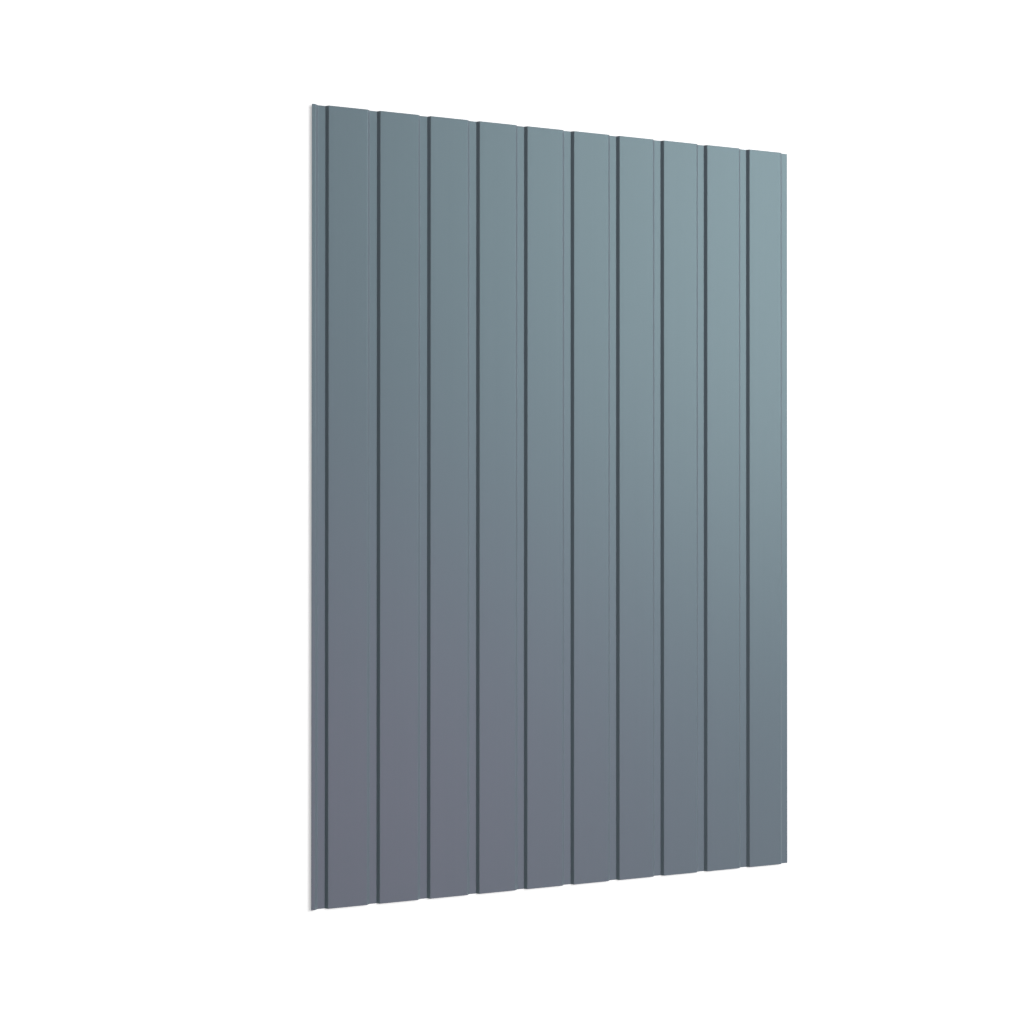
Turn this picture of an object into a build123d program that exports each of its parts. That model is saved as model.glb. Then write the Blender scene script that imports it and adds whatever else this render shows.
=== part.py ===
from build123d import *
import os
from math import atan2, tan

# Low ribbed steel sheet for walls and fences, roll-formed in one piece from a coated strip.
# It lies flat with its coated face up: X runs across the ribs, Y along them, and Z up.
# The origin is on the floor, under the middle of the sheet. Sizes are in millimetres.

# Driving sizes, with widths and bends taken on the middle line of the steel
SHEET_LENGTH = 1750.0
STEEL_THICKNESS = 0.5
PAN_COUNT = 10
PAN_WIDTH = 86.2
GROOVE_WIDTH = 16.4
GROOVE_DEPTH = 6.0
WALL_RUN = 6.2
BEND_RADIUS = 1.45
LAP_LIP_WIDTH = 8.4
LAP_FLANGE_WIDTH = 15.4

# Sizes that follow
PITCH = PAN_WIDTH + GROOVE_WIDTH + 2 * WALL_RUN
COVER_WIDTH = PAN_COUNT * PITCH
OVERALL_WIDTH = LAP_LIP_WIDTH + COVER_WIDTH + WALL_RUN + LAP_FLANGE_WIDTH
WALL_ANGLE = atan2(GROOVE_DEPTH, WALL_RUN)
HALF_STEEL = STEEL_THICKNESS / 2
GROOVE_LEVEL = HALF_STEEL
PAN_LEVEL = GROOVE_LEVEL + GROOVE_DEPTH


def rib_corners(lift):
    """Corners of the section, where its flats would meet with sharp bends, and the radius of each bend.

    The line runs from the lap lip to the lap flange, parallel to the middle of the steel and lift above it.
    """
    pan, groove = PAN_LEVEL + lift, GROOVE_LEVEL + lift
    pan_bend, groove_bend = BEND_RADIUS + lift, BEND_RADIUS - lift
    # A lifted line meets each sloping wall a little further towards the wall's own side
    lean = lift * tan(WALL_ANGLE / 2)

    x = -OVERALL_WIDTH / 2
    corners, bends = [(x, pan)], []

    def add_wall(*ends):
        """One sloping wall, by its two ends in order along the section."""
        corners.extend(ends)
        bends.extend(pan_bend if z == pan else groove_bend for _, z in ends)

    x += LAP_LIP_WIDTH
    for _ in range(PAN_COUNT):
        add_wall((x + lean, pan), (x + WALL_RUN + lean, groove))
        x += WALL_RUN + GROOVE_WIDTH
        add_wall((x - lean, groove), (x + WALL_RUN - lean, pan))
        x += WALL_RUN + PAN_WIDTH
    add_wall((x + lean, pan), (x + WALL_RUN + lean, groove))
    corners.append((OVERALL_WIDTH / 2, groove))
    return corners, bends


def corrugated_sheet():
    """The whole sheet: one section of even thickness, cut square at both ends."""
    with BuildPart() as sheet:
        with BuildSketch(Plane.XZ):
            with BuildLine():
                corners, bends = rib_corners(HALF_STEEL)
                face = FilletPolyline(*corners, radius=bends)
                corners, bends = rib_corners(-HALF_STEEL)
                back = FilletPolyline(*corners, radius=bends)
                Line(face @ 0, back @ 0)
                Line(face @ 1, back @ 1)
            make_face()
        extrude(amount=SHEET_LENGTH / 2, both=True)
    return sheet.part


os.makedirs("parts", exist_ok=True)
export_step(corrugated_sheet(), "parts/corrugated_sheet.step")
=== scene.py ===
import math

import bmesh
import bpy
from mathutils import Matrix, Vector, noise


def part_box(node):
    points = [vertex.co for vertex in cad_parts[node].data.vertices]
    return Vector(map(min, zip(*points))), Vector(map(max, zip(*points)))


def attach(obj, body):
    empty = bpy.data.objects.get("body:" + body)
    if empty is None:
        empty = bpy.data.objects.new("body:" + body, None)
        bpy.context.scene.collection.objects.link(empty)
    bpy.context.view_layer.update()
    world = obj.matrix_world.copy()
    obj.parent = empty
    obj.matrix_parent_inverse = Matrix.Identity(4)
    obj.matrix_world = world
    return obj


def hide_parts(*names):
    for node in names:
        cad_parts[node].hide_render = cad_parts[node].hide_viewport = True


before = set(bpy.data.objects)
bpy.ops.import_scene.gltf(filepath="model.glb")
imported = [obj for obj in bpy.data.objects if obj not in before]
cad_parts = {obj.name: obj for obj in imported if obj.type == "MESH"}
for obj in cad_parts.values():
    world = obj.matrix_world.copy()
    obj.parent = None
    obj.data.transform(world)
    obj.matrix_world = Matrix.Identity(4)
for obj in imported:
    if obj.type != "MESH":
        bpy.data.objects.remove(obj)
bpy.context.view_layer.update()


# Ribbed sheet: one strip of coated steel, rolled cold into wide raised strips and narrow grooves.
# Every bend has the same radius and the steel is equally thick throughout; both ends are sheared square.
# A lip at the left and a flange at the right nest with the next sheet when several are put up.
STEEL = 0.0005
STRIP_COUNT = 10
STRIP_WIDTH = 0.0862
GROOVE_WIDTH = 0.0164
WALL_RUN = 0.0062
LIP_WIDTH = 0.0084
BEND_RADIUS = 0.00145
BEND_SEGMENTS = 5

low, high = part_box("corrugated_sheet")
GROOVE_DEPTH = high.z - low.z - STEEL
STRIP_LEVEL = high.z - STEEL / 2
BEND_SETBACK = BEND_RADIUS * math.tan(math.atan2(GROOVE_DEPTH, WALL_RUN) / 2)

scene = bpy.context.scene
section = bmesh.new()
tip = bmesh.ops.create_vert(section, co=(low.x, low.y, STRIP_LEVEL))["vert"][0]


def fold_on(corner, run, rise):
    """Carries the section on from a corner by a flat or a wall, and returns the new corner."""
    grown = bmesh.ops.extrude_vert_indiv(section, verts=[corner])["verts"][0]
    bmesh.ops.translate(section, verts=[grown], vec=(run, 0, rise))
    return grown


tip = fold_on(tip, LIP_WIDTH, 0)
for _ in range(STRIP_COUNT):
    tip = fold_on(tip, WALL_RUN, -GROOVE_DEPTH)
    tip = fold_on(tip, GROOVE_WIDTH, 0)
    tip = fold_on(tip, WALL_RUN, GROOVE_DEPTH)
    tip = fold_on(tip, STRIP_WIDTH, 0)
tip = fold_on(tip, WALL_RUN, -GROOVE_DEPTH)
fold_on(tip, high.x - tip.co.x, 0)

# The section is drawn out to the length of the sheet, and its folds are rounded
drawn = bmesh.ops.extrude_edge_only(section, edges=section.edges[:])["geom"]
far_corners = [part for part in drawn if isinstance(part, bmesh.types.BMVert)]
bmesh.ops.translate(section, verts=far_corners, vec=(0, high.y - low.y, 0))
folds = [edge for edge in section.edges if len(edge.link_faces) == 2]
bmesh.ops.bevel(
    section, geom=folds, offset=BEND_SETBACK, offset_type="OFFSET", affect="EDGES",
    segments=BEND_SEGMENTS, profile=0.5, material=-1, clamp_overlap=True,
)

# The strips are divided across and the whole sheet along, and the coated face is turned up
CUTS_ACROSS = 9
CUTS_ALONG = 69
ACROSS, ALONG = range(2)


def reach(edge, way):
    """How far an edge runs, across the sheet or along it."""
    return abs(edge.verts[0].co[way] - edge.verts[1].co[way])


strip_edges = [edge for edge in section.edges if reach(edge, ACROSS) > STRIP_WIDTH / 2]
bmesh.ops.subdivide_edges(section, edges=strip_edges, cuts=CUTS_ACROSS)
long_edges = [edge for edge in section.edges if reach(edge, ALONG) > STEEL]
bmesh.ops.subdivide_edges(section, edges=long_edges, cuts=CUTS_ALONG)
bmesh.ops.recalc_face_normals(section, faces=section.faces[:])
if sum(face.normal.z for face in section.faces) < 0:
    bmesh.ops.reverse_faces(section, faces=section.faces[:])

# Rolling leaves each strip a trace hollow between its ribs, here more and there less
BOW = 0.00005
BOW_LENGTH = 0.34
BOW_SHIFT = 3.7
BOW_SEED = 0.5
PITCH = STRIP_WIDTH + GROOVE_WIDTH + 2 * WALL_RUN
FIRST_STRIP = low.x + LIP_WIDTH + GROOVE_WIDTH + 2 * WALL_RUN
FLAT_WIDTH = STRIP_WIDTH - 2 * BEND_SETBACK
for vert in section.verts:
    count = math.floor((vert.co.x - FIRST_STRIP) / PITCH)
    share = (vert.co.x - FIRST_STRIP - count * PITCH - BEND_SETBACK) / FLAT_WIDTH
    if count >= 0 and 0 < share < 1:
        sway = noise.noise(Vector((count * BOW_SHIFT, vert.co.y / BOW_LENGTH, BOW_SEED)))
        vert.co.z -= BOW * math.sin(math.pi * share) ** 2 * (1 + sway) / 2

mesh = bpy.data.meshes.new("ribbed_sheet")
section.to_mesh(mesh)
section.free()
sheet = bpy.data.objects.new("ribbed_sheet", mesh)
scene.collection.objects.link(sheet)

# The steel gets its thickness, half of it to each side of the drawn section
thickness = sheet.modifiers.new("steel_thickness", "SOLIDIFY")
thickness.thickness = STEEL
thickness.offset = 0
thickness.use_even_offset = True
steel = sheet.evaluated_get(bpy.context.evaluated_depsgraph_get())
mesh = bpy.data.meshes.new_from_object(steel)
sheet.modifiers.clear()
sheet.data = mesh

# Its cut rims stay sharp and its flats look flat, and face, back and rims are kept apart for their finishes
RIM_ANGLE = math.radians(60)
FACE_SIDE, BACK_SIDE, CUT_SIDE = range(3)
mesh.shade_smooth()
mesh.set_sharp_from_angle(angle=RIM_ANGLE)
for side in mesh.polygons:
    if abs(side.normal.z) < math.cos(RIM_ANGLE):
        side.material_index = CUT_SIDE
    elif side.normal.z > 0:
        side.material_index = FACE_SIDE
    else:
        side.material_index = BACK_SIDE
flat_shading = sheet.modifiers.new("flats_stay_flat", "WEIGHTED_NORMAL")
flat_shading.keep_sharp = True

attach(sheet, "root")
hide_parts("corrugated_sheet")


# Face coat: blue-grey polyester, baked on the flat strip before it is rolled to shape.
# It has a faint blue-green pearl under a thin clear lacquer, half glossy both.
# Rollers lay it on, which leaves a fine peel and a little unevenness along the strip.
FACE_COLOUR = (0.170, 0.190, 0.225)
FACE_CHANGE = 0.015
FACE_CLOUDS = {"across": 7, "along": 2}
FACE_STREAKS = {"across": 170, "along": 1.2}
FACE_PEARL = (0.03, 0.95, 1.0, 1)
FACE_GLOSS = 0.45
FACE_ROUGHNESS = (0.495, 0.555)
FACE_GRAIN = {"across": 300, "along": 300}
LACQUER_WEIGHT = 0.58
LACQUER_ROUGHNESS = 0.368
PEEL = {"across": 700, "along": 700}
PEEL_HEIGHT = 0.00007


def new_material(name):
    """A node material and its Principled shader."""
    material = bpy.data.materials.new(name)
    material.use_nodes = True
    return material, material.node_tree.nodes["Principled BSDF"]


def pattern(material, across, along):
    """A noise from 0 to 1 over the piece, with so many waves to the metre each way."""
    tree = material.node_tree
    place = tree.nodes.new("ShaderNodeTexCoord")
    waves = tree.nodes.new("ShaderNodeMapping")
    waves.inputs["Scale"].default_value = (across, along, across)
    cloud = tree.nodes.new("ShaderNodeTexNoise")
    cloud.inputs["Scale"].default_value = 1
    tree.links.new(place.outputs["Object"], waves.inputs["Vector"])
    tree.links.new(waves.outputs["Vector"], cloud.inputs["Vector"])
    return cloud.outputs["Fac"]


def mean(material, first, second):
    """Half one pattern and half another."""
    tree = material.node_tree
    blend = tree.nodes.new("ShaderNodeMix")
    tree.links.new(first, blend.inputs["A"])
    tree.links.new(second, blend.inputs["B"])
    return blend.outputs["Result"]


# Nearly all of a pattern lies between these two values
PATTERN_LOW = 0.3
PATTERN_HIGH = 0.7


def tone(material, shader, share, colour, change):
    """Lets a pattern make a colour darker and lighter by a share of itself."""
    tree = material.node_tree
    ramp = tree.nodes.new("ShaderNodeValToRGB")
    darkest, lightest = ramp.color_ramp.elements
    darkest.position = PATTERN_LOW
    darkest.color = (*(level * (1 - change) for level in colour), 1)
    lightest.position = PATTERN_HIGH
    lightest.color = (*(level * (1 + change) for level in colour), 1)
    tree.links.new(share, ramp.inputs["Fac"])
    tree.links.new(ramp.outputs["Color"], shader.inputs["Base Color"])


def remap(tree, value, before, after):
    """Turns one span of a value into another span, and holds it at the ends."""
    spans = tree.nodes.new("ShaderNodeMapRange")
    for name, end in zip(("From Min", "From Max", "To Min", "To Max"), (*before, *after)):
        spans.inputs[name].default_value = end
    tree.links.new(value, spans.inputs["Value"])
    return spans.outputs["Result"]


def polish(material, shader, share, roughness):
    """Lets a pattern vary the roughness between its two ends."""
    tree = material.node_tree
    gloss = remap(tree, share, (PATTERN_LOW, PATTERN_HIGH), roughness)
    tree.links.new(gloss, shader.inputs["Roughness"])


def emboss(material, share, height, *layers):
    """Lets a pattern raise the surface by so much, in each of the given layers of the shader."""
    tree = material.node_tree
    bump = tree.nodes.new("ShaderNodeBump")
    bump.inputs["Distance"].default_value = height
    tree.links.new(share, bump.inputs["Height"])
    for layer in layers:
        tree.links.new(bump.outputs["Normal"], layer)


face_coat, shader = new_material("face_coat")
shader.inputs["Specular IOR Level"].default_value = FACE_GLOSS
shader.inputs["Specular Tint"].default_value = FACE_PEARL
shader.inputs["Coat Weight"].default_value = LACQUER_WEIGHT
shader.inputs["Coat Roughness"].default_value = LACQUER_ROUGHNESS
clouds = pattern(face_coat, **FACE_CLOUDS)
streaks = pattern(face_coat, **FACE_STREAKS)
tone(face_coat, shader, mean(face_coat, clouds, streaks), FACE_COLOUR, FACE_CHANGE)
polish(face_coat, shader, pattern(face_coat, **FACE_GRAIN), FACE_ROUGHNESS)
peel = pattern(face_coat, **PEEL)
emboss(face_coat, peel, PEEL_HEIGHT, shader.inputs["Normal"], shader.inputs["Coat Normal"])
mesh.materials.append(face_coat)


# Backing coat: a thin pale grey primer that keeps the underside from rusting.
# It is laid on the flat strip by rollers too, and is duller and less even than the face,
# with broad clouds, streaks along the strip and smeared patches of gloss.
BACK_COLOUR = (0.42, 0.43, 0.42)
BACK_CHANGE = 0.07
BACK_CLOUDS = {"across": 9, "along": 3}
BACK_STREAKS = {"across": 130, "along": 1}
BACK_ROUGHNESS = (0.55, 0.7)
BACK_SMEARS = {"across": 50, "along": 8}
back_coat, shader = new_material("back_coat")
clouds = pattern(back_coat, **BACK_CLOUDS)
streaks = pattern(back_coat, **BACK_STREAKS)
tone(back_coat, shader, mean(back_coat, clouds, streaks), BACK_COLOUR, BACK_CHANGE)
polish(back_coat, shader, pattern(back_coat, **BACK_SMEARS), BACK_ROUGHNESS)
peel = pattern(back_coat, **PEEL)
emboss(back_coat, peel, PEEL_HEIGHT, shader.inputs["Normal"])
mesh.materials.append(back_coat)


# Cut edges: bare steel between its two zinc skins, where the strip was slit and the ends were sheared.
# The shears leave a fine grain on these rims, which are as wide as the steel is thick.
STEEL_COLOUR = (0.50, 0.51, 0.53)
STEEL_CHANGE = 0.15
STEEL_ROUGHNESS = (0.35, 0.55)
SHEAR_GRAIN = {"across": 1500, "along": 1500}
cut_edge, shader = new_material("cut_edge")
shader.inputs["Metallic"].default_value = 1
shear_marks = pattern(cut_edge, **SHEAR_GRAIN)
tone(cut_edge, shader, shear_marks, STEEL_COLOUR, STEEL_CHANGE)
polish(cut_edge, shader, shear_marks, STEEL_ROUGHNESS)
mesh.materials.append(cut_edge)


# Floor: a plain white studio floor that the sheet lies on, wide enough to have no end in sight.
# It is matt, and it looks white to the camera and in reflections, apart from the sheet's own shadow.
# It has no glow of its own under the sheet, so the hollows below the raised strips are dark.
FLOOR_REACH = 40.0
FLOOR_COLOUR = (0.9, 0.9, 0.9, 1)
FLOOR_ROUGHNESS = 0.9
WHITE = (1, 1, 1, 1)
GLOW_BESIDE = 0.56
GLOW_FAR = 0.44
EDGE_SPAN = (-0.008, 0.001)
FAR_SPAN = (0.05, 0.8)

floor_shape = bmesh.new()
bmesh.ops.create_grid(floor_shape, x_segments=1, y_segments=1, size=FLOOR_REACH)
floor_mesh = bpy.data.meshes.new("studio_floor")
floor_shape.to_mesh(floor_mesh)
floor_shape.free()
floor = bpy.data.objects.new("studio_floor", floor_mesh)
scene.collection.objects.link(floor)


def combine(tree, operation, first, second):
    """One sum, product or larger of two values."""
    step = tree.nodes.new("ShaderNodeMath")
    step.operation = operation
    tree.links.new(first, step.inputs[0])
    tree.links.new(second, step.inputs[1])
    return step.outputs["Value"]


def seen(tree):
    """1 for rays from the camera, off gloss or through glass, and 0 for rays that light the sheet."""
    path = tree.nodes.new("ShaderNodeLightPath")
    mirrored = combine(tree, "MAXIMUM", path.outputs["Is Glossy Ray"], path.outputs["Is Transmission Ray"])
    return combine(tree, "MAXIMUM", path.outputs["Is Camera Ray"], mirrored)


def beyond_edge(tree, half_width, half_length):
    """How far a point of the floor lies outside the sheet's own outline."""
    place = tree.nodes.new("ShaderNodeTexCoord")
    one_quarter = tree.nodes.new("ShaderNodeVectorMath")
    one_quarter.operation = "ABSOLUTE"
    tree.links.new(place.outputs["Object"], one_quarter.inputs[0])
    outside = tree.nodes.new("ShaderNodeVectorMath")
    outside.operation = "SUBTRACT"
    outside.inputs[1].default_value = (half_width, half_length, 0)
    tree.links.new(one_quarter.outputs["Vector"], outside.inputs[0])
    sides = tree.nodes.new("ShaderNodeSeparateXYZ")
    tree.links.new(outside.outputs["Vector"], sides.inputs["Vector"])
    return combine(tree, "MAXIMUM", sides.outputs["X"], sides.outputs["Y"])


floor_white, shader = new_material("floor_white")
shader.inputs["Base Color"].default_value = FLOOR_COLOUR
shader.inputs["Roughness"].default_value = FLOOR_ROUGHNESS
shader.inputs["Emission Color"].default_value = WHITE
tree = floor_white.node_tree
gap = beyond_edge(tree, high.x, high.y)
beside = remap(tree, gap, EDGE_SPAN, (0, GLOW_BESIDE))
far_off = remap(tree, gap, FAR_SPAN, (0, GLOW_FAR))
glow = combine(tree, "MULTIPLY", combine(tree, "ADD", beside, far_off), seen(tree))
tree.links.new(glow, shader.inputs["Emission Strength"])
floor_mesh.materials.append(floor_white)


# Studio light: one wide soft box, high on the right, and a weak rose card that shows in the gloss alone.
# The surround is white to look at and in reflections, and adds nothing to the light on the sheet.
SOFT_BOX = {"place": (6.96, 3.55, 9.11), "size": 7.6, "power": 1248, "colour": (1, 1, 1)}
ROSE_CARD = {"place": (2.46, -2.83, 11.40), "size": 4.2, "power": 163, "colour": (1, 0.15, 0.50)}


def hang_light(name, place, size, power, colour):
    """A square light that faces the middle of the sheet and is out of the camera's sight."""
    light = bpy.data.lights.new(name, "AREA")
    light.size = size
    light.energy = power
    light.color = colour
    lamp = bpy.data.objects.new(name, light)
    lamp.location = place
    lamp.rotation_euler = (-Vector(place)).to_track_quat("-Z", "Y").to_euler()
    lamp.visible_camera = False
    scene.collection.objects.link(lamp)
    return lamp


hang_light("soft_box", **SOFT_BOX)
rose_card = hang_light("rose_card", **ROSE_CARD)
rose_card.visible_diffuse = False

world = bpy.data.worlds.new("studio")
world.use_nodes = True
surround = world.node_tree.nodes["Background"]
surround.inputs["Color"].default_value = WHITE
world.node_tree.links.new(seen(world.node_tree), surround.inputs["Strength"])
scene.world = world
scene.view_settings.view_transform = "Standard"


# Camera: it looks down at the face of the sheet, from the left and a little below its middle.
# Its place, its lens and its lean give the sheet the outline that it has in the photograph.
CAMERA_PLACE = (-1.08685, -0.02236, 2.79686)
LEAN_RIGHT = math.radians(18.9219)
LEAN_UP = math.radians(0.2224)
ROLL = math.radians(0.0210)
LENS_MM = 45.4066
view = bpy.data.cameras.new("view")
view.lens = LENS_MM
camera = bpy.data.objects.new("view", view)
camera.location = CAMERA_PLACE
camera.rotation_mode = "ZXY"
camera.rotation_euler = (LEAN_UP, -LEAN_RIGHT, ROLL)
scene.collection.objects.link(camera)
scene.camera = camera
